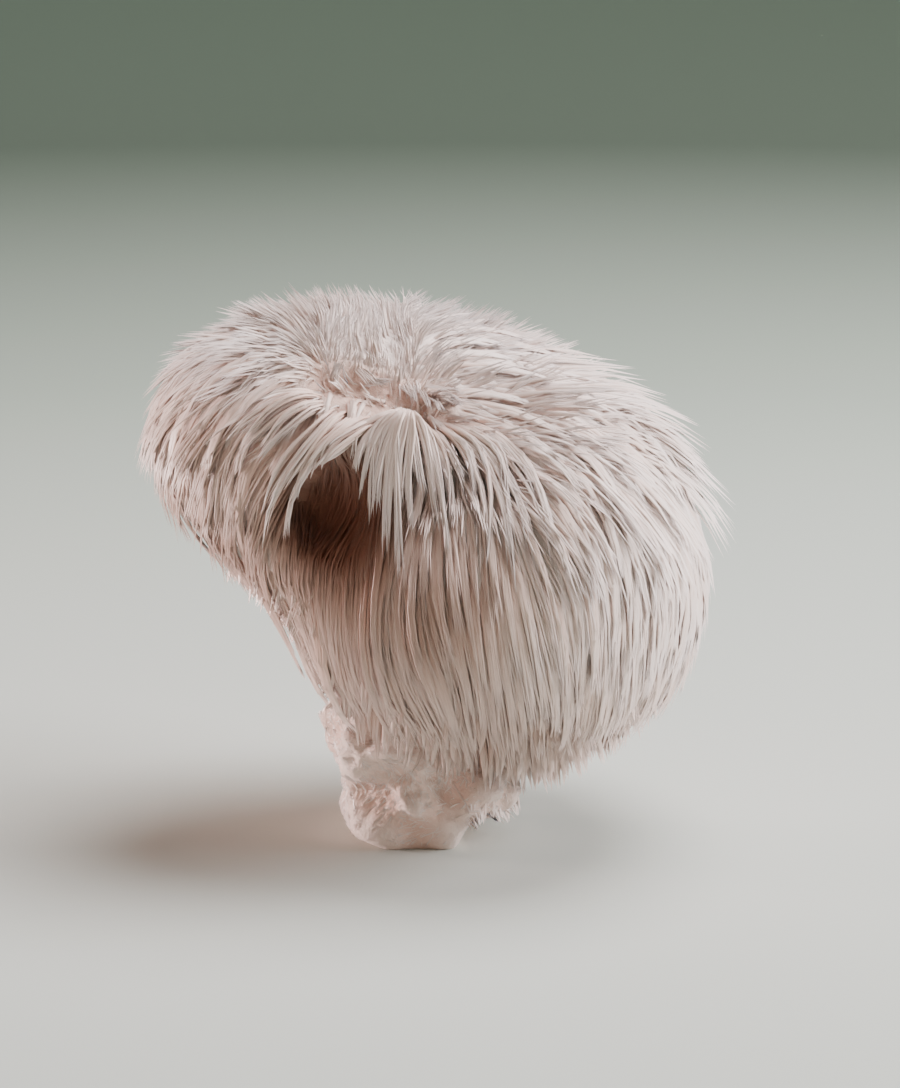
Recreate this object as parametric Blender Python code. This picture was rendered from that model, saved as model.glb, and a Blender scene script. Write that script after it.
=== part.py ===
"""A lion's mane mushroom, cut off flat at the foot of its stalk: one closed solid.

The outline that the tips of its spines reach is a smooth union of ellipsoids, and the flesh lies inside
it. Locks of spines leave a short parting near the front of the crown, run over the head, and hang straight
down under it. One bunch, the forelock, falls forward beside a hollow in the front. A lumpy stalk carries
the head.

The origin is the middle of the flat cut, +Z is up and -Y is the front. The sizes below are in millimetres
unless they say otherwise, and the mesh is in metres.
"""

import math

import bmesh
import bpy
import numpy as np
from mathutils import Matrix, Vector, noise

MM = 0.001

# Head: centre, radii and tilt about Y in degrees of each lobe of the outline
HEAD_LOBES = (
    ((24.5, 4, 69.5), (50.5, 55.5, 53.5), 0),
    ((-21, 4, 104.5), (43.5, 43, 34), 3),
    ((-19, -2, 88), (30, 38, 29), 0),
    ((6, 12, 96), (43, 44, 37.5), 8),
    ((8, -6, 65), (37, 43, 40), 0),
)
HEAD_BLEND = 10.0
HEAD_CENTRE = np.array((5.0, 0.0, 78.0))
HEAD_REACH = 110.0
FLESH_INSET = 6.0
UNDERSIDE_INSET = 9.0

# Hollow in the front, under the forelock
HOLLOW_CENTRE = (-21.5, -43, 97.5)
HOLLOW_RADII = (11, 16, 12)
HOLLOW_BLEND = 7.0

# Parting, the shallow valley on the crown that the spines leave on all sides: its two ends and its depth
PARTING = (np.array((5.0, -30.0, 120.5)), np.array((-19.0, -29.0, 126.5)))
PARTING_RADIUS = 2.4
PARTING_BLEND = 6.0

# Stalk: centre, radii and tilt of each lobe
STALK_LOBES = (
    ((-0.5, 1, 30), (22.5, 26, 22), 0),
    ((1.5, -1, 12), (19.5, 20, 18), 0),
    ((16, -2, 15), (12.5, 18, 11), 0),
)
STALK_BLEND = 5.0
STALK_CENTRE = np.array((2.0, 0.0, 20.0))
STALK_REACH = 60.0
LUMP_HEIGHT = 4.0
LUMP_SIZE = 11.0

# Lie of the spines: how far from the parting they still spread, how soon they fall, and where they hang
SPREAD_REACH = 34.0
FALL_REACH = 17.0
LEAST_SPREAD = 0.1
MOST_FALL = 0.9
HANG_START = 0.6
HANG_SPAN = 0.35

# Locks
LOCK_PLACES = 84
LOCK_LENGTH = 54.0
LEAST_LOCK_LENGTH = 12.0
LOCK_WIDTH = 16.0
LOCK_THICKNESS = 8.5
LOCK_END_THICKNESS = 1.6
LOCK_TAPER = 0.45
LOCK_ROOT_DEPTH = 17.0
LOCK_TIP_LIFT = 2.0
LOCK_STATIONS = 11
LOCK_SIDES = 8
PARTING_CLEARANCE = 13.0
STALK_CLEARANCE = 3.0
HOLLOW_CLEARANCE = 4.0

# Forelock
FORELOCK_ROOT = (0, -24, 113)
FORELOCK_CREST = (-1, -39, 125)
FORELOCK_TIPS = ((-13, -41, 102), (-8, -42, 95), (-2, -43, 92), (4, -46, 88), (10, -50, 82))
FORELOCK_WIDTH = 9.0
FORELOCK_THICKNESS = 7.0

# Fusing the locks to the flesh
VOXEL = 1.3
TRIANGLES = 9000

SPINE_COLOUR = (0.78, 0.70, 0.62, 1.0)


def length(vectors):
    return np.linalg.norm(vectors, axis=-1, keepdims=True)


def unit(vectors):
    return vectors / np.maximum(length(vectors), 1e-9)


def dot(a, b):
    return (a * b).sum(axis=-1, keepdims=True)


def smooth_union(a, b, blend):
    """The lower of two distances, rounded off over the blend."""
    share = np.clip(0.5 + 0.5 * (b - a) / blend, 0, 1)
    return b + (a - b) * share - blend * share * (1 - share)


def ellipsoid_distance(points, centre, radii, tilt=0):
    """About how far points are outside an ellipsoid; negative inside."""
    turn = np.array(Matrix.Rotation(math.radians(tilt), 3, "Y"))
    place = (points - np.array(centre)) @ turn / np.array(radii)
    steepness = length(place / np.array(radii))
    return (length(place) * (length(place) - 1) / np.maximum(steepness, 1e-9))[..., 0]


def lobes_distance(points, lobes, blend):
    distance = None
    for centre, radii, tilt in lobes:
        lobe = ellipsoid_distance(points, centre, radii, tilt)
        distance = lobe if distance is None else smooth_union(distance, lobe, blend)
    return distance


def from_parting(points):
    """The way from the nearest point of the parting to each point."""
    start, end = PARTING
    run = end - start
    share = np.clip(dot(points - start, run) / (run @ run), 0, 1)
    return points - start - share * run


def head_distance(points):
    """How far points are outside the outline that the tips of the spines reach."""
    full = lobes_distance(points, HEAD_LOBES, HEAD_BLEND)
    valley = length(from_parting(points))[..., 0] - PARTING_RADIUS
    parted = -smooth_union(-full, valley, PARTING_BLEND)
    hollow = ellipsoid_distance(points, HOLLOW_CENTRE, HOLLOW_RADII)
    return -smooth_union(-parted, hollow, HOLLOW_BLEND)


def stalk_distance(points):
    return lobes_distance(points, STALK_LOBES, STALK_BLEND)


def outward(points):
    """The way out of the head at each point."""
    step = 0.5
    return unit(np.stack([head_distance(points + step * axis) - head_distance(points - step * axis)
                          for axis in np.eye(3)], axis=-1))


def cast(distance, centre, directions, reach, inset=0.0):
    """Where rays from a centre leave a shape, or the same shape some way inside it."""
    inset = np.broadcast_to(inset, (len(directions), 1))
    near, far = np.zeros((len(directions), 1)), np.full((len(directions), 1), reach)
    for _ in range(30):
        middle = (near + far) / 2
        inside = distance(centre + directions * middle)[:, None] < -inset
        near, far = np.where(inside, middle, near), np.where(inside, far, middle)
    return centre + directions * near


def lie(points, normals):
    """The way the spines run: off the parting on all sides, down the sides, and straight down underneath."""
    away = from_parting(points) * (1, 1, 0.5)
    reach = length(away)
    spread = np.exp(-(reach / SPREAD_REACH) ** 2) + LEAST_SPREAD
    fall = MOST_FALL * (1 - np.exp(-(reach / FALL_REACH) ** 2))
    down = np.array((0.0, 0.0, -1.0))
    heading = away / np.maximum(reach, 1) * spread + down * fall
    along = unit(heading - normals * dot(heading, normals))
    hang = hanging(normals)
    return unit(along * (1 - hang) + down * hang)


def hanging(normals):
    """0 where spines lie along the head, 1 where they hang from its underside."""
    return np.clip((-normals[:, 2:] - HANG_START) / HANG_SPAN, 0, 1)


def lock_lines(tips):
    """Follows the lie of the spines back from each tip into the flesh, one row of stations for each."""
    hang = hanging(outward(tips))
    off_parting = length(from_parting(tips))
    reach = np.clip(0.9 * off_parting, LEAST_LOCK_LENGTH, LOCK_LENGTH)
    depth = LOCK_ROOT_DEPTH * reach / LOCK_LENGTH
    stations = [tips + outward(tips) * LOCK_TIP_LIFT * (1 - hang)]
    for share in np.linspace(0, 1, LOCK_STATIONS)[1:]:
        last = stations[-1]
        place = last - lie(last, outward(last)) * reach / (LOCK_STATIONS - 1)
        height = LOCK_TIP_LIFT - (LOCK_TIP_LIFT + depth) * share ** 1.5
        rise = height - head_distance(place)[:, None]
        stations.append(place + outward(place) * rise * (1 - hang))
    return np.stack(stations, axis=1)


def spread_directions(count, pole):
    """Directions at equal spacing over a sphere, in a spiral from the pole."""
    number = np.arange(count) + 0.5
    polar = np.arccos(1 - 2 * number / count)
    round_pole = math.pi * (1 + math.sqrt(5)) * number
    spiral = np.stack([np.cos(round_pole) * np.sin(polar), np.sin(round_pole) * np.sin(polar),
                       np.cos(polar)], axis=-1)
    turn = np.array(Vector((0, 0, 1)).rotation_difference(Vector(pole)).to_matrix())
    return spiral @ turn.T


def lock_tips():
    """Points over the head where locks end, clear of the parting, the hollow and the stalk."""
    directions = spread_directions(LOCK_PLACES, PARTING[0] - HEAD_CENTRE)
    tips = cast(head_distance, HEAD_CENTRE, directions, HEAD_REACH)
    off_parting = length(from_parting(tips))[:, 0] > PARTING_CLEARANCE
    off_stalk = stalk_distance(tips) > STALK_CLEARANCE
    off_hollow = ellipsoid_distance(tips, HOLLOW_CENTRE, HOLLOW_RADII) > HOLLOW_CLEARANCE
    return tips[off_parting & off_stalk & off_hollow]


def ring_frames(line, width, thickness):
    """One matrix for each station, tip first: a unit circle there becomes the lock's section."""
    along = unit(np.gradient(line, axis=0))
    away = unit(outward(line) + 0.4 * unit(line - HEAD_CENTRE))
    across = unit(np.cross(along, away))
    away = np.cross(across, along)
    frames = []
    for station, share in enumerate(np.linspace(0, 1, len(line))):
        fullness = 1 - max(0.0, 1 - share / LOCK_TAPER) ** 1.5
        wide, thick = (max(size * fullness, LOCK_END_THICKNESS) / 2 for size in (width, thickness))
        columns = (*(across[station] * wide * MM), 0), (*(away[station] * thick * MM), 0)
        frames.append(Matrix((*columns, (*along[station], 0), (*(line[station] * MM), 1))).transposed())
    return frames


def add_lock(mesh, frames):
    """A closed tube through the ring at each frame."""
    rings = []
    for number, frame in enumerate(frames):
        is_end = number in (0, len(frames) - 1)
        ring = bmesh.ops.create_circle(mesh, segments=LOCK_SIDES, radius=1, cap_ends=is_end, matrix=frame)
        rings.append({edge for vert in ring["verts"] for edge in vert.link_edges})
    for near, far in zip(rings, rings[1:]):
        bmesh.ops.bridge_loops(mesh, edges=list(near | far))


def add_head_locks(mesh):
    for line in lock_lines(lock_tips()):
        add_lock(mesh, ring_frames(line, LOCK_WIDTH, LOCK_THICKNESS))


def add_forelock(mesh):
    """Locks that rise over one crest and fan out to their own tips, in front of the rest."""
    root, crest = np.array(FORELOCK_ROOT, float), np.array(FORELOCK_CREST, float)
    share = np.linspace(0, 1, LOCK_STATIONS)[:, None]
    for tip in FORELOCK_TIPS:
        line = np.array(tip) * (1 - share) ** 2 + crest * 2 * share * (1 - share) + root * share ** 2
        add_lock(mesh, ring_frames(line, FORELOCK_WIDTH, FORELOCK_THICKNESS))


def add_ball(mesh, distance, centre, reach, inset_of):
    """A round mesh stretched along rays to a shape, held back from it by an inset for each direction."""
    verts = bmesh.ops.create_icosphere(mesh, subdivisions=5, radius=1)["verts"]
    directions = unit(np.array([vert.co for vert in verts]))
    for vert, place in zip(verts, cast(distance, centre, directions, reach, inset_of(directions))):
        vert.co = place
    return verts


def add_flesh(mesh):
    """The head under its spines."""
    verts = add_ball(mesh, head_distance, HEAD_CENTRE, HEAD_REACH,
                     lambda ways: FLESH_INSET + (UNDERSIDE_INSET - FLESH_INSET) * hanging(ways))
    bmesh.ops.scale(mesh, vec=(MM, MM, MM), verts=verts)


def add_stalk(mesh):
    """A lumpy stalk, which the flat cut shortens later."""
    verts = add_ball(mesh, stalk_distance, STALK_CENTRE, STALK_REACH, lambda ways: 0.0)
    for vert in verts:
        side = (vert.co - Vector(STALK_CENTRE)).normalized()
        vert.co += side * noise.noise(vert.co / LUMP_SIZE) * LUMP_HEIGHT
    bmesh.ops.scale(mesh, vec=(MM, MM, MM), verts=verts)


def flesh_material():
    material = bpy.data.materials.new("spines")
    material.use_nodes = True
    shader = material.node_tree.nodes["Principled BSDF"]
    shader.inputs["Base Color"].default_value = SPINE_COLOUR
    shader.inputs["Roughness"].default_value = 0.6
    shader.inputs["Metallic"].default_value = 0.0
    return material


def triangle_count(fruit_body):
    evaluated = fruit_body.evaluated_get(bpy.context.evaluated_depsgraph_get())
    mesh = evaluated.to_mesh()
    count = sum(len(polygon.vertices) - 2 for polygon in mesh.polygons)
    evaluated.to_mesh_clear()
    return count


def cutter_below_ground():
    """A block whose top is the flat cut."""
    mesh = bmesh.new()
    bmesh.ops.create_cube(mesh, size=1, matrix=Matrix.LocRotScale((0, 0, -0.05), None, (0.3, 0.3, 0.1)))
    data = bpy.data.meshes.new("ground_cutter")
    mesh.to_mesh(data)
    mesh.free()
    cutter = bpy.data.objects.new("ground_cutter", data)
    cutter.hide_render = True
    cutter.display_type = "WIRE"
    bpy.context.scene.collection.objects.link(cutter)
    return cutter


def fruit_body():
    """Fuses flesh, stalk and locks, thins the faces, and cuts the foot off flat."""
    mesh = bmesh.new()
    add_flesh(mesh)
    add_stalk(mesh)
    add_head_locks(mesh)
    add_forelock(mesh)
    bmesh.ops.recalc_face_normals(mesh, faces=mesh.faces)
    data = bpy.data.meshes.new("lions_mane")
    mesh.to_mesh(data)
    mesh.free()
    data.materials.append(flesh_material())
    body = bpy.data.objects.new("lions_mane", data)
    bpy.context.scene.collection.objects.link(body)

    fuse = body.modifiers.new("fuse", "REMESH")
    fuse.mode = "VOXEL"
    fuse.voxel_size = VOXEL * MM
    thin = body.modifiers.new("thin", "DECIMATE")
    thin.ratio = 1.0
    thin.ratio = min(1.0, TRIANGLES / triangle_count(body))
    cut = body.modifiers.new("cut", "BOOLEAN")
    cut.operation = "DIFFERENCE"
    cut.object = cutter_below_ground()
    return body


def main():
    for item in list(bpy.data.objects):
        bpy.data.objects.remove(item)
    fruit_body()


main()
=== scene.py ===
"""Dresses a lion's mane mushroom in its spines.

The head's outline is the solid's own: a smooth union of ellipsoids that the tips of the spines reach, with a
parting on the crown and a hollow in the front. Every spine is a line traced back from its tip along the lie
of the mane into the flesh, drawn towards its neighbours into locks, and skinned as a thin cone. The lines are
arrays of stations, tip first. Lengths are in millimetres until a mesh is written.
"""

import math

import bmesh
import bpy
import numpy as np
from mathutils import Matrix, Vector, noise


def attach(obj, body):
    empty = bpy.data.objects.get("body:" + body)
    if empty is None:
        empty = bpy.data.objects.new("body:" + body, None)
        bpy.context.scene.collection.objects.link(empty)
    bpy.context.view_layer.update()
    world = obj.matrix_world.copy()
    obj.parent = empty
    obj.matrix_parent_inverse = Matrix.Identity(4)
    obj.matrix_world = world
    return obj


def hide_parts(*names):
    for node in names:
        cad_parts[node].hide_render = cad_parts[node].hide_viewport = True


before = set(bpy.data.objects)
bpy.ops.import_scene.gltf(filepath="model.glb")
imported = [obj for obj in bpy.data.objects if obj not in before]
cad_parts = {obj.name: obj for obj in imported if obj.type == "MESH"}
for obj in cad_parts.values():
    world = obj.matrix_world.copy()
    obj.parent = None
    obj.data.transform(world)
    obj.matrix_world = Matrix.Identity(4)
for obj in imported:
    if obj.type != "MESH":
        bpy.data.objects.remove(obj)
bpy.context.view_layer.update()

MM = 0.001
NODE = "lions_mane"
UP = np.array((0.0, 0.0, 1.0))
rng = np.random.default_rng(7)

# Head: centre, radii and tilt about Y in degrees of each lobe of the outline
HEAD_LOBES = (
    ((24.5, 4, 69.5), (50.5, 55.5, 53.5), 0),
    ((-21, 4, 104.5), (43.5, 43, 34), 3),
    ((-19, -2, 88), (30, 38, 29), 0),
    ((6, 12, 96), (43, 44, 37.5), 8),
    ((8, -6, 65), (37, 43, 40), 0),
)
HEAD_BLEND = 10.0
HEAD_CENTRE = np.array((5.0, 0.0, 78.0))
HEAD_REACH = 110.0
FLESH_INSET = 1.3

# Hollow in the front, under the forelock
HOLLOW_CENTRE = np.array((-21.5, -43.0, 97.5))
HOLLOW_RADII = (11, 16, 12)
HOLLOW_BLEND = 7.0
# Painted shade of the hollow: brown painted into the spines and flesh for the hollow's shade, partly also for
# its browner spines
HOLLOW_SHADE_CENTRE = np.array((-17.0, -34.0, 92.0))
HOLLOW_SHADE_RADII = np.array((20.0, 22.0, 25.0))
# Painted shade low on the front, on the low right rim and on the left flank: how much each darkens the spines
# at most
FRONT_PAINTED_SHADE = 0.48
RIM_PAINTED_SHADE = 0.24
FLANK_PAINTED_SHADE = 0.36

# Parting, the shallow valley on the crown that the spines leave on all sides
PARTING = (np.array((5.0, -30.0, 120.5)), np.array((-19.0, -29.0, 126.5)))
PARTING_RADIUS = 2.4
PARTING_BLEND = 6.0

# Stalk
STALK_LOBES = (
    ((-0.5, 1, 30), (22.5, 26, 22), 0),
    ((1.5, -1, 12), (19.5, 20, 18), 0),
    ((16, -2, 15), (12.5, 18, 11), 0),
)
STALK_BLEND = 5.0
STALK_CENTRE = np.array((2.0, 0.0, 20.0))
STALK_REACH = 60.0
LUMP_HEIGHT = 4.0
LUMP_SIZE = 11.0

# Lie of the spines
SPREAD_REACH = 34.0
FALL_REACH = 17.0
SHOULDER = np.array((30.0, -22.0, 110.0))

# Spines
CROWN_SPINES = 9000
FALL_SPINES = 10000
UNDER_SPINES = 2200
CROWN_STATIONS = 6
FALL_STATIONS = 8
DRAPE_STATIONS = 10
UNDER_STATIONS = 6
CREST_SPINES = 168
FLUFF_FIBRES = 4500
FLAKES = 360

# Locks that lie over the rest: tips of the ones that stand out in front, and the number of others
FRONT_LOCKS = (
    (31.9, -49.7, 55.4), (46.1, -46.9, 74.0), (44.3, -44.4, 50.5), (21.6, -51.9, 74.4), (27.5, -50.6, 56.4),
    (35.8, -50.8, 70.8), (-0.6, -47.8, 77.7), (4.7, -49.3, 76.0), (11.0, -51.4, 60.4), (-7.3, -46.2, 59.9),
    (15.8, -52.2, 65.4), (5.9, -48.3, 50.9),
)
OTHER_LOCKS = 200
SPINES_PER_TIER = 12

# Locks that drape from the parting: points from the tip of each, over its crest, to its root
FORELOCK = (
    ((-13, -40.5, 104), (-12.5, -40.5, 110), (-10, -38.5, 115), (-2.5, -35, 118.5), (0, -24, 113.5)),
    ((-11.5, -41.5, 98), (-10, -41, 107), (-7.5, -39, 115.5), (-1.5, -36, 119), (0, -24, 113.5)),
    ((-6.5, -41.5, 95), (-7, -41, 106), (-5, -39, 115), (-1, -36, 119.5), (0, -24, 113.5)),
    ((-2.5, -42.5, 93.5), (-3.5, -41.5, 104.5), (-2.5, -39, 114.5), (-0.5, -36, 119.5), (0, -24, 113.5)),
    ((1, -44.5, 90), (-0.5, -41.5, 103.5), (-0.5, -38.5, 114.5), (0, -36, 119), (0, -24, 113.5)),
    ((5.5, -46, 90.5), (3, -41.5, 103.5), (1.5, -37.5, 114), (0.5, -35, 119), (0, -24, 113.5)),
    ((8.5, -49, 85.5), (6, -42, 101), (3.5, -37, 113.5), (1, -34.5, 118.5), (0, -24, 113.5)),
    ((10.5, -51, 81), (8.5, -43.5, 99), (5.5, -36, 112), (1.5, -34, 118), (0, -24, 113.5)),
    ((10.5, -47.5, 89), (10, -41, 101), (7.5, -36, 109.5), (3, -33, 115.5), (0.5, -24, 113)),
    ((-8.5, -45.5, 85), (-8, -42, 103), (-5.5, -39.5, 114.5), (-1, -36.5, 119.5), (0, -24, 113.5)),
    ((-5.5, -46.5, 83.5), (-5, -42, 103), (-4, -39.5, 114.5), (-1, -36.5, 119.5), (0, -24, 113.5)),
    ((-1, -49, 76.5), (-1.5, -42.5, 102), (-1.5, -39.5, 114.5), (-0.5, -36.5, 119.5), (0, -24, 113.5)),
)
RIGHT_LOCKS = (
    ((23, -47.5, 92.5), (22.5, -42.5, 102), (18.5, -36.5, 108.5), (11.5, -32.5, 113), (5.5, -25, 112.5)),
    ((19, -51.5, 82.5), (18.5, -44, 99), (14.5, -36.5, 108.5), (9.5, -32.5, 113.5), (4, -25, 113)),
    ((15, -50, 86), (14.5, -43.5, 99), (11.5, -37, 108), (7.5, -33, 113), (3, -25, 113)),
    ((32, -52, 76.5), (29, -45.5, 97), (23.5, -37.5, 107), (15, -31.5, 113), (8, -24.5, 113)),
    ((36.5, -50.5, 78.5), (33, -44.5, 97), (27.5, -37, 107), (19, -30.5, 113.5), (10.5, -24, 113.5)),
    ((27, -53, 66.5), (25, -47.5, 92.5), (21.5, -38.5, 105.5), (13, -32, 113), (6.5, -24.5, 113)),
)
LEFT_LOCKS = (
    ((-36, -35.5, 83), (-34, -40.5, 97), (-29, -41.5, 108), (-20, -37.5, 117.5), (-16, -28, 118)),
    ((-33, -39.5, 91.5), (-31, -41.5, 101), (-26.5, -42, 109), (-18.5, -38, 117.5), (-14, -28, 117.5)),
    ((-30, -39.5, 87), (-29, -42, 98.5), (-25, -42.5, 108.5), (-17, -38, 117), (-12, -28, 117)),
    ((-27, -41.5, 97.5), (-26, -42, 103.5), (-22.5, -42, 110.5), (-15, -38, 116.5), (-10, -28, 116.5)),
    ((-24, -41.5, 103), (-23, -42.5, 106.5), (-20, -42, 111), (-12.5, -38, 116.5), (-7.5, -28, 116)),
    ((-21, -41, 106), (-20, -42, 108.5), (-17.5, -41.5, 112), (-10, -38, 116), (-5, -28, 115.5)),
    ((-44.5, -33.5, 111), (-40, -35, 116), (-33, -35, 121), (-25.5, -33, 123), (-19.5, -27, 119.5)),
    ((-41.5, -36, 108), (-37.5, -37, 113.5), (-31, -36.5, 119.5), (-24, -34.5, 122), (-18.5, -27.5, 119)),
    ((-38, -38, 105), (-34, -39, 111.5), (-28.5, -38.5, 118), (-22.5, -36, 120.5), (-17, -28, 118.5)),
)
STRANDS_PER_LOCK = 4


# Fields

def length(vectors):
    return np.linalg.norm(vectors, axis=-1, keepdims=True)


def unit(vectors):
    return vectors / np.maximum(length(vectors), 1e-9)


def dot(a, b):
    return (a * b).sum(axis=-1, keepdims=True)


def smooth_step(value, low, high):
    share = np.clip((value - low) / (high - low), 0, 1)
    return share * share * (3 - 2 * share)


def smooth_union(a, b, blend):
    """The lower of two distances, rounded off over the blend."""
    share = np.clip(0.5 + 0.5 * (b - a) / blend, 0, 1)
    return b + (a - b) * share - blend * share * (1 - share)


def ellipsoid_distance(points, centre, radii, tilt=0):
    """About how far points are outside an ellipsoid; negative inside."""
    turn = np.array(Matrix.Rotation(math.radians(tilt), 3, "Y"))
    place = (points - np.array(centre)) @ turn / np.array(radii)
    steepness = length(place / np.array(radii))
    return (length(place) * (length(place) - 1) / np.maximum(steepness, 1e-9))[..., 0]


def lobes_distance(points, lobes, blend):
    distance = None
    for centre, radii, tilt in lobes:
        lobe = ellipsoid_distance(points, centre, radii, tilt)
        distance = lobe if distance is None else smooth_union(distance, lobe, blend)
    return distance


def from_parting(points):
    """The way from the nearest point of the parting to each point."""
    start, end = PARTING
    run = end - start
    share = np.clip(dot(points - start, run) / (run @ run), 0, 1)
    return points - start - share * run


def head_distance(points, dent=1.0):
    """How far points are outside the outline that the tips reach, with the hollow as deep as dent says."""
    full = lobes_distance(points, HEAD_LOBES, HEAD_BLEND)
    valley = length(from_parting(points))[..., 0] - PARTING_RADIUS
    full = -smooth_union(-full, valley, PARTING_BLEND)
    hollow = ellipsoid_distance(points, HOLLOW_CENTRE, HOLLOW_RADII)
    dented = -smooth_union(-full, hollow, HOLLOW_BLEND)
    return full + (dented - full) * dent


def stalk_distance(points):
    return lobes_distance(points, STALK_LOBES, STALK_BLEND)


def gradient(distance, points):
    step = 0.5
    return unit(np.stack([distance(points + step * axis) - distance(points - step * axis)
                          for axis in np.eye(3)], axis=-1))


def outward(points, dent=1.0):
    """The way out of the head at each point."""
    return gradient(lambda places: head_distance(places, dent), points)


def cast(distance, centre, directions, reach, inset=0.0):
    """Where rays from a centre leave a shape, or the same shape some way inside it."""
    near, far = np.zeros((len(directions), 1)), np.full((len(directions), 1), reach)
    for _ in range(24):
        middle = (near + far) / 2
        inside = distance(centre + directions * middle)[:, None] < -inset
        near, far = np.where(inside, middle, near), np.where(inside, far, middle)
    return centre + directions * near


def on_head(directions, inset=0.0):
    return cast(head_distance, HEAD_CENTRE, directions, HEAD_REACH, inset)


def hollow_painted_shade(points):
    """Painted shade of the hollow: 1 deep in it, where spines and flesh are painted brown for its shade,
    partly also their own browner colour, and 0 outside it.
    """
    return 1 - smooth_step(length((points - HOLLOW_SHADE_CENTRE) / HOLLOW_SHADE_RADII)[..., 0], 0.4, 1.2)


def painted_shade(lines):
    """How much painted shade darkens the spines at each station: most in the hollow, less low on the front,
    on the low right rim and on the left flank.
    """
    height = lines[..., 2]
    low = (0.45 + 0.55 * np.exp(-((height - 72) / 22) ** 2)) * (1 - smooth_step(height, 80, 110))
    low = low * (1 - smooth_step(lines[..., 0], 8, 48)) * (lines[..., 1] < 0)
    rim = (1 - smooth_step(height, 34, 58)) * smooth_step(lines[..., 0], 5, 25) * (lines[..., 1] < 0)
    flank = smooth_step(-lines[..., 0], 25, 50) * (1 - smooth_step(height, 112, 126))
    return 1 - (1 - hollow_painted_shade(lines)) * (1 - FRONT_PAINTED_SHADE * low) * (1 - RIM_PAINTED_SHADE * rim) * (1 - FLANK_PAINTED_SHADE * flank)


# Lie of the spines

def hanging(normals):
    """0 where spines lie along the head, 1 where they hang from its underside."""
    return np.clip((-normals[..., 2:] - 0.6) / 0.35, 0, 1)


def lie(points, normals):
    """The way the spines run: off the parting on all sides, down the sides and straight down below."""
    away = from_parting(points) * (1, 1, 0.5)
    reach = length(away)
    spread = np.exp(-(reach / SPREAD_REACH) ** 2) + 0.1
    fall = 0.9 * (1 - np.exp(-(reach / FALL_REACH) ** 2))
    heading = away / np.maximum(reach, 1) * spread - UP * fall
    along = unit(heading - normals * dot(heading, normals))
    hang = hanging(normals)
    return unit(along * (1 - hang) - UP * hang)


def swirl(points, size, seed):
    """A smooth wandering vector at each point, about 1 long, that turns over the given size."""
    draw = np.random.default_rng(seed)
    waves = draw.normal(size=(3, 5, 3)) / size
    phases = draw.uniform(0, 2 * math.pi, size=(3, 5))
    return np.stack([np.sin(points @ wave.T + phase).sum(axis=-1) / 2.2
                     for wave, phase in zip(waves, phases)], axis=-1)


# Spine lines

def spread_directions(count):
    """Directions at equal spacing over a sphere."""
    number = np.arange(count) + 0.5
    polar = np.arccos(1 - 2 * number / count)
    round_pole = math.pi * (1 + math.sqrt(5)) * number
    return np.stack([np.cos(round_pole) * np.sin(polar), np.sin(round_pole) * np.sin(polar),
                     np.cos(polar)], axis=-1)


def scatter_tips(count, weigh):
    """Points spread over the head's outline as a weight of place and normal says, clear of the stalk."""
    directions = spread_directions(count * 5)
    places = on_head(directions)
    normals = outward(places)
    facing = np.maximum(dot(directions, normals), 0.2)
    area = (length(places - HEAD_CENTRE) ** 2 / facing)[:, 0]
    odds = area * (stalk_distance(places) > 1.0) * weigh(places, normals)
    return places[rng.random(len(places)) < odds / odds.sum() * count]


def trace(tips, stations, reach, depth, lift, flick, ease, dent, wander=0.16):
    """Follows the lie of the spines back from each tip into the flesh: one row of stations for each tip."""
    hang = hanging(outward(tips, dent))
    line = [tips + outward(tips, dent) * (lift + flick) * (1 - hang)]
    for share in np.linspace(0, 1, stations)[1:]:
        last = line[-1]
        way = lie(last, outward(last, dent)) + wander * swirl(last, 14, 3) * (1 - hang)
        place = last - unit(way) * reach / (stations - 1)
        height = lift - (lift + depth) * share ** ease + flick * max(0, 1 - share / 0.4) ** 2
        rise = height - head_distance(place, dent)[:, None]
        line.append(place + outward(place, dent) * rise * (1 - hang))
    return np.stack(line, axis=1)


def nearest(points, targets):
    """The number of the target nearest to each point."""
    found = []
    for part in np.array_split(points, max(1, len(points) // 500)):
        gaps = ((part[:, None] - targets[None]) ** 2).sum(axis=-1)
        found.append(gaps.argmin(axis=1))
    return np.concatenate(found)


def locks(lines, size):
    """Sorts spines into locks by their tips: for each spine, the number of the one that leads its lock."""
    leaders = rng.permutation(len(lines))[:max(1, int(len(lines) / size))]
    return leaders[nearest(lines[:, 0], lines[leaders, 0])]


def gather(lines, leaders, pull, ease):
    """Draws the ends of each lock's spines towards its leader."""
    share = np.linspace(0, 1, lines.shape[1])[None, :, None]
    strength = np.reshape(pull, (-1, 1, 1)) * (1 - share) ** ease
    return lines + (lines[leaders] - lines) * strength


def ruffle(lines, aside, out):
    """Bends the loose end of each spine a little aside and out of the mane."""
    across, away = spine_frames(lines, HEAD_CENTRE)
    loose = np.maximum(0, 1 - np.linspace(0, 1, lines.shape[1]) / 0.5)[None, :, None] ** 1.5
    return lines + (across * np.reshape(aside, (-1, 1, 1)) + away * np.reshape(out, (-1, 1, 1))) * loose


def tufted(tips, size, low, high):
    """A random height for each spine that it shares with the others of its tuft, above zero for some."""
    tufts = nearest(tips, tips[rng.permutation(len(tips))[:len(tips) // size]])
    return np.maximum(rng.uniform(low, high, size=len(tips))[tufts], 0)


def crown_share(places, normals):
    """1 on top, where the spines are short and stand in tufts, and 0 where they are long and fall."""
    top = smooth_step(normals[:, 2], 0.3, 0.7) * (ellipsoid_distance(places, HOLLOW_CENTRE, HOLLOW_RADII) > 5)
    shoulder = np.exp(-(length(places - SHOULDER)[:, 0] / 26) ** 2)
    return top * (1 - 0.85 * shoulder)


def crown_weight(places, normals):
    """The crown's tips keep off the parting, farther on its near side, and stand closest beside it."""
    off = length(from_parting(places))[:, 0]
    return crown_share(places, normals) * (off > 3 + 9 * (places[:, 1] < PARTING[0][1])) * (1 + 2 * np.exp(-(off / 9) ** 2))


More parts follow.
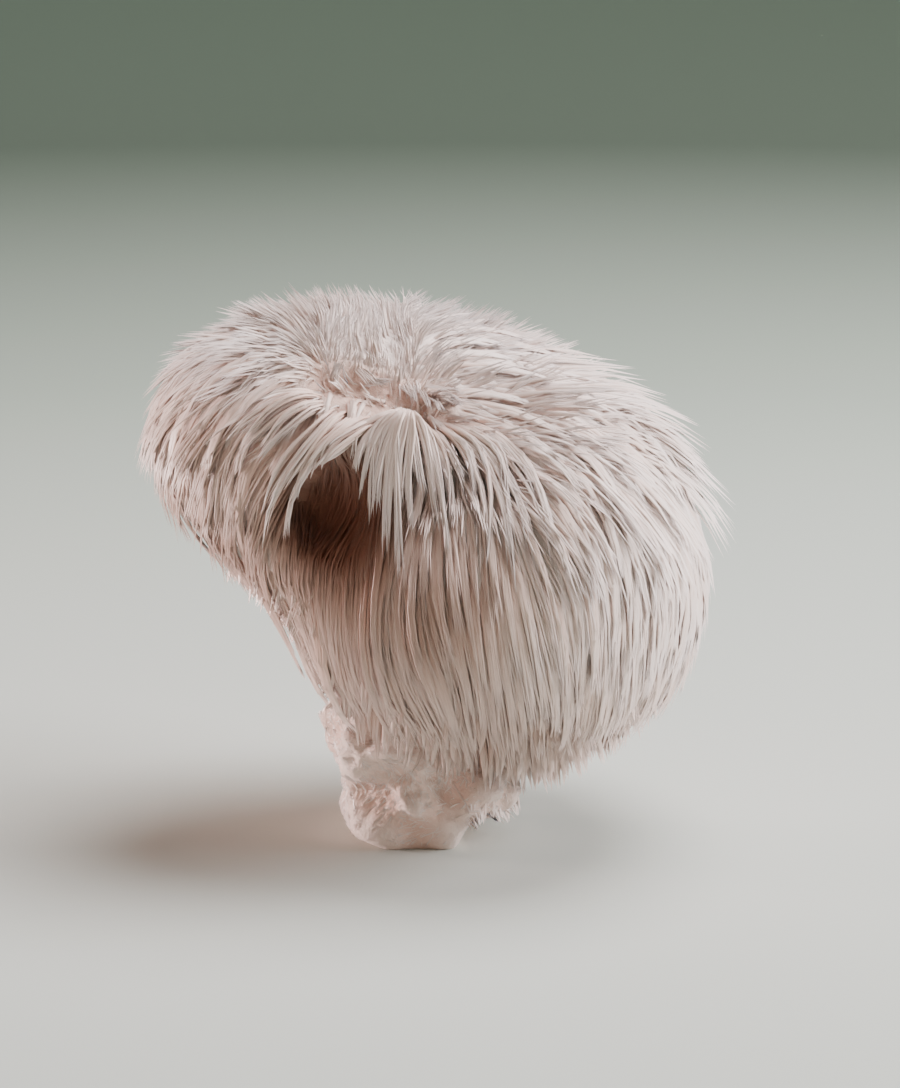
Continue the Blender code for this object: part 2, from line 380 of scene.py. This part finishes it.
def crown_lines():
    tips = scatter_tips(CROWN_SPINES, crown_weight)
    count = len(tips)
    off_parting = length(from_parting(tips))
    reach = np.clip(0.9 * off_parting - 1, 4, 30) * rng.uniform(0.8, 1.1, size=(count, 1))
    depth = reach * rng.uniform(0.26, 0.36, size=(count, 1))
    lift = rng.normal(-0.4, 0.5, size=(count, 1)) - 1.2 * (rng.random((count, 1)) < 0.3)
    lines = trace(tips, CROWN_STATIONS, reach, depth, lift, 0.0, 1.25, 1.0, wander=0.35)
    lines = gather(lines, locks(lines, 8), rng.uniform(0.2, 0.75, size=count), 1.6)
    out = tufted(tips, 6, -3, 6.5) + rng.uniform(0, 0.8, size=count)
    return ruffle(lines, rng.normal(0, 0.7, size=count), out * np.minimum(reach[:, 0] / 20, 1))


def fall_weight(places, normals):
    """Few tips end on the front and sides, more along the fringe."""
    fringe = 1 - smooth_step(normals[:, 2], -0.5, 0.0)
    return (1 - crown_share(places, normals)) * (0.5 + 0.9 * fringe) * (1 - hanging(normals)[:, 0])


def below_hollow(tips):
    """1 for spines whose tips are in the hollow or under it, 0 for the ones that run past it."""
    off = np.abs(tips[:, 0] - HOLLOW_CENTRE[0] - 4)
    return (1 - smooth_step(off, 11, 20)) * (tips[:, 2] < 112) * (tips[:, 1] < 0)


def rooted(lines):
    """Whether the root of each spine is inside the flesh, and not in the open hollow."""
    return head_distance(lines[:, -1]) < -FLESH_INSET


def fall_lines():
    tips = scatter_tips(FALL_SPINES, fall_weight)
    count = len(tips)
    fringe = 1 - smooth_step(outward(tips, 0.0)[:, 2], -0.55, -0.2)
    short = (tufted(tips, 10, -6, 12) * fringe)[:, None]
    tips = tips - lie(tips, outward(tips, 0.0)) * short
    off_parting = length(from_parting(tips))
    reach = np.clip(0.95 * off_parting - 1, 8, 66) * rng.uniform(0.8, 1.05, size=(count, 1))
    depth = np.clip(0.25 * reach, 5, 14) * rng.uniform(0.8, 1.2, size=(count, 1))
    lift = rng.normal(-0.2, 0.35, size=(count, 1)) - 0.8 * (rng.random((count, 1)) < 0.35)
    dent = below_hollow(tips)
    lines = trace(tips, FALL_STATIONS, reach, depth, lift, 0.0, 2.3, dent)
    lines = gather(lines, locks(lines, 24), rng.uniform(0.05, 0.2, size=count), 1.0)
    lines = gather(lines, locks(lines, 6), rng.uniform(0.1, 0.55, size=count), 2.2)
    upper = (0.35 + 0.65 * smooth_step(tips[:, 2], 60, 85)) * (1 + 0.6 * smooth_step(tips[:, 0], 30, 55))
    out = (tufted(tips, 5, -4, 7) * upper + rng.uniform(0, 0.8, size=count)) * (1 - dent)
    lines = ruffle(lines, rng.normal(0, 0.8, size=count), out)
    in_hollow = (ellipsoid_distance(lines, HOLLOW_CENTRE, HOLLOW_RADII) < -1.0).any(axis=1)
    return lines[~(in_hollow & (dent < 0.6)) & rooted(lines)]


def under_weight(places, normals):
    return smooth_step(-normals[:, 2], 0.2, 0.5) * (places[:, 2] < 75)


def tier_lines():
    """Pointed locks, proud of the rest, that end in tiers down the front, sides and back."""
    spread = scatter_tips(OTHER_LOCKS, lambda places, normals: (1 - crown_share(places, normals))
                          * smooth_step(normals[:, 2], -0.75, -0.5)
                          * (1 + 2 * (1 - smooth_step(places[:, 2], 35, 65))))
    ends = np.concatenate([np.array(FRONT_LOCKS), spread])
    ends = ends - outward(ends, 0.0) * head_distance(ends, 0.0)[:, None]
    lock = np.repeat(np.arange(len(ends)), SPINES_PER_TIER)
    leaders = lock * SPINES_PER_TIER
    count = len(lock)
    leads = (leaders == np.arange(count))[:, None]
    way = lie(ends, outward(ends, 0.0))
    across = np.cross(outward(ends, 0.0), way)[lock]
    width = rng.uniform(1.2, 3.0, size=len(ends))[lock][:, None]
    offset = np.where(leads, 0, rng.uniform(-1, 1, size=(count, 1)))
    short = np.where(leads, 0, rng.random((count, 1)) ** 2 * 12)
    tips = ends[lock] + across * offset * width - way[lock] * short
    tips = tips - outward(tips, 0.0) * head_distance(tips, 0.0)[:, None]
    off_parting = length(from_parting(tips))
    reach = np.clip(0.95 * off_parting - 1, 8, rng.uniform(46, 64, size=(count, 1)))
    lift = rng.uniform(0.6, 2.2, size=len(ends))[lock][:, None] * (1 - 0.7 * offset ** 2)
    depth = 0.22 * reach
    lines = trace(tips, FALL_STATIONS, reach, depth, lift, 0.0, 2.6, 0.0)
    lines = gather(lines, leaders, rng.uniform(0.7, 1.0, size=count), 0.9)
    lines = ruffle(lines, rng.normal(0, 0.6, size=count), rng.uniform(0, 0.8, size=count))
    in_hollow = (ellipsoid_distance(lines, HOLLOW_CENTRE, HOLLOW_RADII) < 1.0).any(axis=1)
    return lines[~in_hollow & ~in_hollow[leaders] & rooted(lines)]


def under_lines():
    """Short blunt teeth that hang from the underside."""
    tips = scatter_tips(UNDER_SPINES, under_weight)
    count = len(tips)
    tips = tips - UP * rng.uniform(-3, 6, size=(count, 1))
    reach = rng.uniform(14, 20, size=(count, 1))
    share = np.linspace(0, 1, UNDER_STATIONS)[None, :, None]
    lean = unit(tips - HEAD_CENTRE) * (1, 1, 0)
    bend = swirl(tips, 9, 11) * 2.5
    lines = tips[:, None] + UP * (reach[:, None] * share)
    lines = lines - (lean * 3)[:, None] * share + bend[:, None] * share * (1 - share) * 2
    lines = gather(lines, locks(lines, 4), rng.uniform(0.3, 0.8, size=count), 1.2)
    return lines[rooted(lines)]


def through(points, share):
    """A smooth curve through the points of each line, which come at equal steps of the share."""
    start, end = 2 * points[:, :1] - points[:, 1:2], 2 * points[:, -1:] - points[:, -2:-1]
    points = np.concatenate([start, points, end], axis=1)
    place = share * (points.shape[1] - 3)
    number = np.minimum(place.astype(int), points.shape[1] - 4)
    step = (place - number)[..., None]
    rows = np.arange(len(points))[:, None]
    a, b, c, d = (points[rows, number + ahead] for ahead in range(4))
    return b + step / 2 * (c - a + step * (2 * a - 5 * b + 4 * c - d + step * (3 * (b - c) + d - a)))


def draped_lines(draped, spread, short, size, relief=1.0):
    """Locks that rise over a crest and hang down to their own tips, in front of the rest."""
    widths = spread * np.array((0.12, 0.5, 0.9, 0.5, 0.5))[:, None]
    heights = relief * np.array((0.2, 0.8, 1.0, 0.8, 1.0))[:, None] * (0, -0.8, 0.6)
    bundles = []
    for path in np.array(draped, float):
        run = path[1] - path[3]
        across = unit(np.cross(run, (0, -1, 0.4)))
        strand = rng.integers(0, STRANDS_PER_LOCK, size=size)
        aside = rng.uniform(-1, 1, size=(STRANDS_PER_LOCK, 1, 1))[strand]
        aside = aside + rng.normal(0, 0.12, size=(size, len(path), 1))
        above = rng.uniform(-1, 1, size=(size, 1, 1))
        start = short * (rng.uniform(0, 1, size=STRANDS_PER_LOCK)[strand, None] ** 1.3
                         + rng.uniform(0, 0.25, size=(size, 1)))
        share = start + (1 - start) * np.linspace(0, 1, DRAPE_STATIONS)
        bundles.append(through(path + aside * across * widths + above * heights, share))
    lines = np.concatenate(bundles)
    return ruffle(lines, rng.normal(0, 0.5, size=len(lines)), rng.uniform(0, 0.6, size=len(lines)))


def crest_lines():
    """Short curled tufts that overhang the parting from its far lip."""
    tufts = rng.integers(0, CREST_SPINES // 14, size=CREST_SPINES)
    per_tuft = rng.uniform(-1, 1, size=(CREST_SPINES // 14, 8))[tufts]
    own = rng.normal(0, 1, size=(CREST_SPINES, 3))
    start, end = PARTING
    middle = start + (end - start) * (0.36 + 0.55 * per_tuft[:, :1])
    lip = middle + np.array((1.5, 6.5, 0.0)) + per_tuft[:, 1:4] * (2, 3, 0) + own * (0.9, 0.9, 0)
    normals = outward(lip)
    lip = lip - normals * (head_distance(lip)[:, None] + 1.5)
    reach = 9 + 2 * per_tuft[:, 4:5] + own[:, :1]
    over = unit(np.array((0.5, -0.75, -0.25)) + per_tuft[:, 5:8] * 0.4 + own * 0.08)
    share = np.linspace(1, 0, CROWN_STATIONS)[None, :, None]
    rise = (normals * reach)[:, None] * (0.5 * share - 0.42 * share ** 2)
    lines = lip[:, None] + rise + (over * reach)[:, None] * (0.3 * share + 0.5 * share ** 2)
    return gather(lines, locks(lines, 6), rng.uniform(0.3, 0.8, size=CREST_SPINES), 1.3)


# Skinning

def spine_template(stations, sides):
    """A cone cut into rings: its vertices' stations and places round the ring, and its faces."""
    mesh = bmesh.new()
    bmesh.ops.create_cone(mesh, cap_ends=True, segments=sides, radius1=1, radius2=0, depth=1)
    slanted = [edge for edge in mesh.edges if abs(edge.verts[0].co.z - edge.verts[1].co.z) > 0.5]
    bmesh.ops.subdivide_edges(mesh, edges=slanted, cuts=stations - 2)
    mesh.verts.index_update()
    co = np.array([vert.co for vert in mesh.verts])
    station = np.rint((0.5 - co[:, 2]) * (stations - 1)).astype(int)
    around = co[:, :2] / np.maximum(np.linalg.norm(co[:, :2], axis=1, keepdims=True), 1e-6)
    around[station == 0] = 0
    faces = [[vert.index for vert in face.verts] for face in mesh.faces]
    mesh.free()
    return station, around, faces


def spine_frames(lines, heart):
    """The way across each spine and the way out from the heart, both square to the spine."""
    along = unit(np.gradient(lines, axis=1))
    across = unit(np.cross(along, unit(lines - heart)))
    return across, np.cross(across, along)


def skin(name, lines, radii, tints, material, taper=0.4, heart=HEAD_CENTRE, soft=0.5, root=0.0, waist=1.15):
    """One mesh of a thin cone round every line. Its shading is turned partly towards the mane's surface."""
    stations = lines.shape[1]
    station, around, faces = spine_template(stations, 3)
    across, away = spine_frames(lines, heart)
    share = np.linspace(0, 1, stations)
    fullness = np.minimum(1, (share / taper) ** 0.7) * (1 + (waist - 1) * share ** 1.5)
    thickness = radii[:, None] * fullness[None]
    round_line = across[:, station] * around[:, :1] + away[:, station] * around[:, 1:]
    place = (lines[:, station] + round_line * thickness[:, station, None]) * MM
    count, per_spine = place.shape[:2]
    sizes = np.array([len(face) for face in faces])
    corners = np.concatenate(faces)
    all_corners = (corners[None] + np.arange(count)[:, None] * per_spine).ravel()
    starts = np.concatenate([[0], np.cumsum(sizes)[:-1]])
    all_starts = (starts[None] + np.arange(count)[:, None] * len(corners)).ravel()

    data = bpy.data.meshes.new(name)
    data.vertices.add(count * per_spine)
    data.vertices.foreach_set("co", place.astype(np.float32).ravel())
    data.loops.add(len(all_corners))
    data.loops.foreach_set("vertex_index", all_corners.astype(np.int32))
    data.polygons.add(len(all_starts))
    data.polygons.foreach_set("loop_start", all_starts.astype(np.int32))
    data.update(calc_edges=True)
    data.polygons.foreach_set("use_smooth", np.ones(len(all_starts), bool))

    tint = np.broadcast_to(np.reshape(tints, (count, -1)), (count, stations))[:, station]
    along = np.broadcast_to((1 - share[station] * (1 - root))[None], (count, per_spine))
    uv = np.stack([tint.ravel(), along.ravel()], axis=-1)[all_corners]
    layer = data.uv_layers.new(name="OFBake")
    layer.uv.foreach_set("vector", uv.astype(np.float32).ravel())
    data.materials.append(material)
    data.validate()
    shading = unit(round_line * (1 - soft) + away[:, station] * soft)
    data.normals_split_custom_set_from_vertices(shading.reshape(-1, 3).tolist())
    return add_piece(name, data)


def add_piece(name, data):
    """A piece that stands for the solid and moves with it, with the solid's own part hidden."""
    piece = bpy.data.objects.new(name, data)
    bpy.context.scene.collection.objects.link(piece)
    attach(piece, "root")
    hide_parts(NODE)
    return piece


# Materials

def link_ramp(tree, value, stops):
    ramp = tree.nodes.new("ShaderNodeValToRGB")
    elements = ramp.color_ramp.elements
    while len(elements) < len(stops):
        elements.new(0.5)
    for element, (position, colour) in zip(elements, stops):
        element.position = position
        element.color = (*colour, 1)
    tree.links.new(value, ramp.inputs["Fac"])
    return ramp.outputs["Color"]


def multiply(tree, a, b):
    mix = tree.nodes.new("ShaderNodeMix")
    mix.data_type = "RGBA"
    mix.blend_type = "MULTIPLY"
    mix.inputs["Factor"].default_value = 1.0
    tree.links.new(a, mix.inputs["A"])
    tree.links.new(b, mix.inputs["B"])
    return mix.outputs["Result"]


def spine_material():
    """Off-white with a soft sheen, warmer towards the roots, brown where the tint is low. Tints below the
    spines' own range are painted shade, and the whiter tips are partly a painted glow of light through them.
    """
    material = bpy.data.materials.new("spines")
    material.use_nodes = True
    tree = material.node_tree
    shader = tree.nodes["Principled BSDF"]
    shader.inputs["Roughness"].default_value = 0.42
    shader.inputs["Specular IOR Level"].default_value = 0.5
    shader.inputs["Sheen Weight"].default_value = 0.5
    shader.inputs["Sheen Roughness"].default_value = 0.5
    shader.inputs["Sheen Tint"].default_value = (0.97, 0.95, 1.0, 1)
    uv = tree.nodes.new("ShaderNodeUVMap")
    uv.uv_map = "OFBake"
    parts = tree.nodes.new("ShaderNodeSeparateXYZ")
    tree.links.new(uv.outputs["UV"], parts.inputs["Vector"])
    # Warmer roots are the spines' own colour; the whiter tips are partly a painted glow of light shining
    # through them
    along = link_ramp(tree, parts.outputs["Y"], (
        (0.0, (0.93, 0.72, 0.61)),
        (0.5, (0.97, 0.88, 0.82)),
        (0.8, (0.99, 0.96, 0.93)),
        (1.0, (1.0, 1.0, 1.0)),
    ))
    # The spines' own tone from lock to lock, down to brown where painted shade darkens it
    tint = link_ramp(tree, parts.outputs["X"], (
        (0.0, (0.24, 0.085, 0.045)),
        (0.4, (0.60, 0.41, 0.34)),
        (0.7, (0.94, 0.745, 0.675)),
        (1.0, (0.99, 0.87, 0.84)),
    ))
    tree.links.new(multiply(tree, along, tint), shader.inputs["Base Color"])
    return material


def flesh_material():
    material = bpy.data.materials.new("flesh")
    material.use_nodes = True
    tree = material.node_tree
    shader = tree.nodes["Principled BSDF"]
    shader.inputs["Roughness"].default_value = 0.7
    shader.inputs["Sheen Weight"].default_value = 0.5
    shader.inputs["Sheen Roughness"].default_value = 0.5
    shader.inputs["Sheen Tint"].default_value = (1.0, 0.94, 0.92, 1)
    # The low, brown end of this value is painted shade in the hollow and the parting's valley, and between
    # the stalk's puffs
    shade = tree.nodes.new("ShaderNodeAttribute")
    shade.attribute_name = "shade"
    colour = link_ramp(tree, shade.outputs["Fac"], (
        (0.0, (0.24, 0.085, 0.045)),
        (0.5, (0.84, 0.56, 0.46)),
        (1.0, (0.98, 0.85, 0.79)),
    ))
    tree.links.new(colour, shader.inputs["Base Color"])
    place = tree.nodes.new("ShaderNodeTexCoord")
    grain = tree.nodes.new("ShaderNodeTexNoise")
    grain.inputs["Scale"].default_value = 900
    grain.inputs["Detail"].default_value = 4
    grain.inputs["Roughness"].default_value = 0.6
    tree.links.new(place.outputs["Object"], grain.inputs["Vector"])
    bump = tree.nodes.new("ShaderNodeBump")
    bump.inputs["Strength"].default_value = 0.5
    bump.inputs["Distance"].default_value = 0.001
    tree.links.new(grain.outputs["Fac"], bump.inputs["Height"])
    tree.links.new(bump.outputs["Normal"], shader.inputs["Normal"])
    return material


# Pieces

def mane(material):
    crown = crown_lines()
    slimness = 0.45 + 0.55 * smooth_step(length(from_parting(crown[:, 0]))[:, 0], 3, 22)
    paint(("crown_left", "crown_right"), crown, rng.uniform(0.3, 0.55, size=len(crown)) * slimness, material)
    fall = fall_lines()
    stoutness = 0.68 + 0.32 * smooth_step(fall[:, 0, 0], -15, 30)
    paint(("mane_back_left", "mane_left", "mane_front", "mane_right", "mane_back_right"), fall,
          rng.uniform(0.42, 0.76, size=len(fall)) * stoutness, material)
    under = under_lines()
    # Painted shade: the teeth under the head are darker, for the shade beneath it
    tints = rng.uniform(0.45, 0.7, size=len(under))
    tier = tier_lines()
    paint(("locks_left", "locks_right"), tier, rng.uniform(0.42, 0.74, size=len(tier)), material)
    skin("underside", under, rng.uniform(0.5, 0.95, size=len(under)), tints, material, taper=0.35, root=0.3)
    forelock = draped_lines(FORELOCK, 2.1, 0.3, 28)
    skin("forelock", forelock, rng.uniform(0.4, 0.66, size=len(forelock)),
         rng.uniform(0.85, 1.0, size=len(forelock)), material, waist=0.6)
    right = draped_lines(RIGHT_LOCKS, 4.3, 0.5, 46)
    skin("locks_by_forelock", right, rng.uniform(0.38, 0.64, size=len(right)),
         rng.uniform(0.82, 1.0, size=len(right)), material, waist=0.6)
    arches = draped_lines(LEFT_LOCKS, 2.4, 0.4, 20, relief=2.0)
    skin("arches", arches, rng.uniform(0.26, 0.5, size=len(arches)),
         rng.uniform(0.7, 1.0, size=len(arches)), material, waist=0.6)
    crest = crest_lines()
    skin("crest", crest, rng.uniform(0.14, 0.24, size=len(crest)),
         rng.uniform(0.85, 1.0, size=len(crest)), material, root=0.3)


def paint(names, lines, radii, material):
    """Skins spines as several pieces round the head, with tints that differ from lock to lock, darkened by
    painted shade in the hollow, low on the front, on the low right rim and on the left flank.
    """
    count = len(lines)
    own = rng.random(count)[locks(lines, 12)]
    tints = 0.72 + 0.16 * own + 0.12 * rng.random(count)
    # Painted shade darkens the tints
    tints = tints[:, None] * (1 - painted_shade(lines))
    azimuth = np.arctan2(lines[:, 0, 0] - HEAD_CENTRE[0], HEAD_CENTRE[1] - lines[:, 0, 1])
    for name, group in zip(names, np.array_split(np.argsort(azimuth), len(names))):
        skin(name, lines[group], radii[group], tints[group], material)


def shaded_mesh(mesh, name, shade, material):
    """Turns a bmesh into a smooth piece whose vertices carry a shade from 0, brown, to 1, white: the
    surface's own tone with painted shade and light in it.
    """
    bmesh.ops.recalc_face_normals(mesh, faces=mesh.faces)
    for face in mesh.faces:
        face.smooth = True
    data = bpy.data.meshes.new(name)
    mesh.to_mesh(data)
    mesh.free()
    attribute = data.attributes.new("shade", "FLOAT", "POINT")
    attribute.data.foreach_set("value", np.asarray(shade, np.float32))
    data.materials.append(material)
    return add_piece(name, data)


def flesh(material):
    mesh = bmesh.new()
    verts = bmesh.ops.create_icosphere(mesh, subdivisions=6, radius=1)["verts"]
    directions = unit(np.array([vert.co for vert in verts]))
    surface = on_head(directions)
    near_parting = 1 - smooth_step(length(from_parting(surface))[:, 0], 4, 12)
    low_rim = smooth_step(-outward(surface)[:, 2], 0.05, 0.45) * (1 - smooth_step(surface[:, 2], 68, 80))
    inset = FLESH_INSET - (FLESH_INSET - 0.6) * near_parting + 6 * low_rim
    places = on_head(directions, inset[:, None])
    for vert, place in zip(verts, places):
        vert.co = place * MM
    # Painted shade: the flesh is darker in the parting's valley, in the hollow and on the hollow's wall
    near_hollow = 1 - smooth_step(ellipsoid_distance(surface, HOLLOW_CENTRE, HOLLOW_RADII), 3, 10)
    shade = (0.9 - 0.4 * near_parting) * (1 - hollow_painted_shade(places)) * (1 - 0.95 * near_hollow)
    shaded_mesh(mesh, "head_flesh", shade, material)


def lumps(point):
    """How far the stalk's surface stands out at a point, in rounded puffs that fade out near the cut."""
    large = noise.noise(Vector(point) / LUMP_SIZE) * LUMP_HEIGHT
    puffs = noise.turbulence(Vector(point) / 8, 3, False, amplitude_scale=0.5, frequency_scale=2.2)
    return large + (puffs - 0.5) * 3.0 * float(smooth_step(point[2], 3, 14))


def on_stalk(directions):
    """Where rays from the stalk's centre leave its lumpy surface."""
    places = cast(stalk_distance, STALK_CENTRE, directions, STALK_REACH)
    return places + directions * np.array([[lumps(place)] for place in places])


def fluff_lines():
    """Short fine fibres that lie over the stalk like cotton."""
    directions = spread_directions(FLUFF_FIBRES * 2)
    roots = on_stalk(directions)
    roots = roots[(roots[:, 2] > 1.5) & (head_distance(roots) > -2)]
    count = len(roots)
    way = swirl(roots, 7, 21) + rng.normal(0, 0.5, size=(count, 3)) + unit(roots - STALK_CENTRE) * 0.25
    way = unit(way) * rng.uniform(2, 5, size=(count, 1))
    stand = rng.uniform(0.1, 0.6, size=(count, 1)) + 0.25 * (roots[:, :1] < -14)
    line = []
    for share in np.linspace(1, 0, 5):
        place = roots + way * share
        side = unit(place - STALK_CENTRE)
        line.append(on_stalk(side) + side * (stand * share ** 1.5 - 0.2))
    lines = np.stack(line, axis=1)
    lines = gather(lines, locks(lines, 6), rng.uniform(0.2, 0.8, size=count), 1.0)
    return lines[lines[..., 2].min(axis=1) > 0.5]


def flake_lines():
    """Pointed tufts that stand out of the stalk's flanks, pointing out and down."""
    directions = spread_directions(FLAKES * 6)
    roots = on_stalk(directions)
    flank = (directions[:, 0] > 0.45) & (roots[:, 2] > 6) & (head_distance(roots) > -1)
    roots = roots[flank]
    roots = roots[rng.permutation(len(roots))[:FLAKES]]
    count = len(roots)
    way = unit(unit(roots - STALK_CENTRE) * (0.8, 0.8, 0.3) - UP * 0.5 + swirl(roots, 5, 31) * 0.35)
    share = np.linspace(1, 0, 5)[None, :, None]
    lines = roots[:, None] + (way * rng.uniform(2.5, 5, size=(count, 1)))[:, None] * share
    lines = lines - UP * 1.2 * share ** 2 - (unit(roots - STALK_CENTRE) * 1.4)[:, None]
    return gather(lines, locks(lines, 8), rng.uniform(0.5, 0.95, size=count), 0.8)


def stalk(material):
    mesh = bmesh.new()
    verts = bmesh.ops.create_icosphere(mesh, subdivisions=6, radius=1)["verts"]
    directions = unit(np.array([vert.co for vert in verts]))
    for vert, place in zip(verts, on_stalk(directions)):
        vert.co = place * MM
    cut = bmesh.ops.bisect_plane(mesh, geom=mesh.verts[:] + mesh.edges[:] + mesh.faces[:],
                                 plane_co=(0, 0, 0), plane_no=(0, 0, -1), clear_outer=True)
    edges = [item for item in cut["geom_cut"] if isinstance(item, bmesh.types.BMEdge)]
    bmesh.ops.contextual_create(mesh, geom=edges)
    # The stalk's own tone, with painted shade between the puffs and painted light on them
    shade = [0.66 + 0.07 * lumps(vert.co / MM) for vert in mesh.verts]
    shaded_mesh(mesh, "stalk", shade, material)


def fuzz(material):
    """The fibres and teeth on the stalk."""
    fluff = fluff_lines()
    skin("stalk_fluff", fluff, rng.uniform(0.08, 0.18, size=len(fluff)),
         rng.uniform(0.7, 1.0, size=len(fluff)), material, heart=STALK_CENTRE, soft=0.8, root=0.7)
    flakes = flake_lines()
    skin("stalk_flakes", flakes, rng.uniform(0.16, 0.32, size=len(flakes)),
         rng.uniform(0.7, 0.9, size=len(flakes)), material, heart=STALK_CENTRE, soft=0.8, root=0.6)


# Stage

def stage():
    """A pale floor that rises into a round backdrop, darker and greener with distance."""
    mesh = bmesh.new()
    profile = [(0.0, 0.0), (0.3, 0.0), (0.8, 0.0), (1.6, 0.0)]
    profile += [(1.6 + 0.6 * math.sin(a), 0.6 - 0.6 * math.cos(a)) for a in np.linspace(0.1, math.pi / 2, 12)]
    profile += [(2.2, 2.0)]
    verts = [mesh.verts.new((x, 0, z)) for x, z in profile]
    edges = [mesh.edges.new(pair) for pair in zip(verts, verts[1:])]
    bmesh.ops.spin(mesh, geom=verts + edges, cent=(0, 0, 0), axis=(0, 0, 1), dvec=(0, 0, 0),
                   angle=2 * math.pi, steps=96, use_merge=True)
    bmesh.ops.remove_doubles(mesh, verts=mesh.verts, dist=1e-5)
    bmesh.ops.recalc_face_normals(mesh, faces=mesh.faces)
    for face in mesh.faces:
        face.smooth = True
    data = bpy.data.meshes.new("backdrop")
    mesh.to_mesh(data)
    mesh.free()
    backdrop = bpy.data.objects.new("backdrop", data)
    bpy.context.scene.collection.objects.link(backdrop)
    material = bpy.data.materials.new("backdrop")
    material.use_nodes = True
    tree = material.node_tree
    shader = tree.nodes["Principled BSDF"]
    shader.inputs["Roughness"].default_value = 0.9
    shader.inputs["Specular IOR Level"].default_value = 0.1
    place = tree.nodes.new("ShaderNodeTexCoord")
    distance = tree.nodes.new("ShaderNodeVectorMath")
    distance.operation = "LENGTH"
    tree.links.new(place.outputs["Object"], distance.inputs[0])
    scaled = tree.nodes.new("ShaderNodeMath")
    scaled.operation = "MULTIPLY"
    scaled.inputs[1].default_value = 0.4
    tree.links.new(distance.outputs["Value"], scaled.inputs[0])
    colour = link_ramp(tree, scaled.outputs["Value"], (
        (0.04, (0.58, 0.61, 0.57)),
        (0.25, (0.40, 0.46, 0.40)),
        (0.8, (0.20, 0.27, 0.21)),
    ))
    tree.links.new(colour, shader.inputs["Base Color"])
    data.materials.append(material)


def area_light(name, place, size, power, colour, target=(0, 0, 0.07)):
    data = bpy.data.lights.new(name, "AREA")
    data.shape = "DISK"
    data.size = size
    data.energy = power
    data.color = colour
    light = bpy.data.objects.new(name, data)
    light.location = place
    light.rotation_euler = (Vector(place) - Vector(target)).to_track_quat("Z", "Y").to_euler()
    bpy.context.scene.collection.objects.link(light)


def lights():
    area_light("key", (1.17, -0.05, 0.62), 0.8, 31, (1.0, 0.96, 0.97))
    area_light("top", (0.35, 0.25, 1.37), 0.9, 27, (1.0, 0.965, 0.975))
    area_light("fill", (-0.5, -1.0, 0.3), 0.8, 1.2, (1.0, 0.56, 0.5))
    area_light("low_left", (-0.75, 0.15, 0.03), 0.2, 15, (1.0, 0.79, 0.76), (0, 0, 0.035))
    world = bpy.data.worlds.new("studio")
    world.use_nodes = True
    world.node_tree.nodes["Background"].inputs["Color"].default_value = (1.0, 0.72, 0.61, 1)
    world.node_tree.nodes["Background"].inputs["Strength"].default_value = 0.14
    bpy.context.scene.world = world


def camera():
    """Looks down at 14 degrees, with the foot's cut below the middle of the picture."""
    elevation = math.radians(14)
    distance = 0.795
    data = bpy.data.cameras.new("camera")
    data.lens = 100
    data.sensor_width = 36
    per_pixel = distance / (data.lens / data.sensor_width * 1088)
    cut_pixel = (411, 829)
    right = Vector((1, 0, 0))
    forward = Vector((0, math.cos(elevation), -math.sin(elevation)))
    up = Vector((0, math.sin(elevation), math.cos(elevation)))
    aside, above = (450 - cut_pixel[0]) * per_pixel, (cut_pixel[1] - 544) * per_pixel
    view = bpy.data.objects.new("camera", data)
    view.location = right * aside + up * above - forward * distance
    view.rotation_euler = (math.radians(90) - elevation, 0, 0)
    bpy.context.scene.collection.objects.link(view)
    bpy.context.scene.camera = view


def main():
    camera()
    spines = spine_material()
    body = flesh_material()
    mane(spines)
    flesh(body)
    stalk(body)
    fuzz(spines)
    stage()
    lights()


main()
